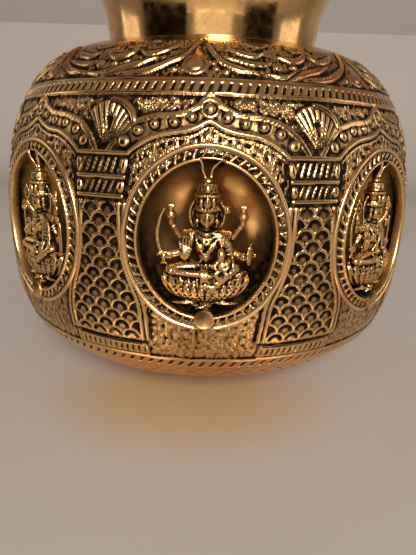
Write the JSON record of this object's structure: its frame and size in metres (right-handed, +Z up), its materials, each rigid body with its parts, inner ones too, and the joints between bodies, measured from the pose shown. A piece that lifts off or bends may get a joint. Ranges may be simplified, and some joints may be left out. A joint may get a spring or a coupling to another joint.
{
  "type": "brass kalash pot",
  "caption": "Round-bellied brass kalash pot with a chased body, oval niches that each hold a cast seated figure, and a plain flared neck.",
  "frame": {"origin": "centre of the base, on the plane the pot stands on", "axes": "+Z up along the pot's axis; the first niche faces -Y, the others follow every 45 degrees towards +X"},
  "size_m": [0.1418, 0.1418, 0.141],
  "materials": {
    "body_brass": "chased and darkened in the hollows, worn bright on the high parts",
    "neck_brass": "spun and polished",
    "niche_brass": "satin, darkened at the edges",
    "figure_brass": "cast, darkened in the hollows",
    "stud_brass": "soldered, worn bright"
  },
  "bodies": {
    "root": {"body_shell": "body_brass", "neck": "neck_brass", "niche_cup_1": "niche_brass", "niche_cup_2": "niche_brass", "niche_cup_3": "niche_brass", "niche_cup_4": "niche_brass", "niche_cup_5": "niche_brass", "niche_cup_6": "niche_brass", "niche_cup_7": "niche_brass", "niche_cup_8": "niche_brass", "figure_1": "figure_brass", "figure_2": "figure_brass", "figure_3": "figure_brass", "figure_4": "figure_brass", "figure_5": "figure_brass", "figure_6": "figure_brass", "figure_7": "figure_brass", "figure_8": "figure_brass", "stud_1": "stud_brass", "stud_2": "stud_brass", "stud_3": "stud_brass", "stud_4": "stud_brass", "stud_5": "stud_brass", "stud_6": "stud_brass", "stud_7": "stud_brass", "stud_8": "stud_brass"}
  },
  "joints": []
}
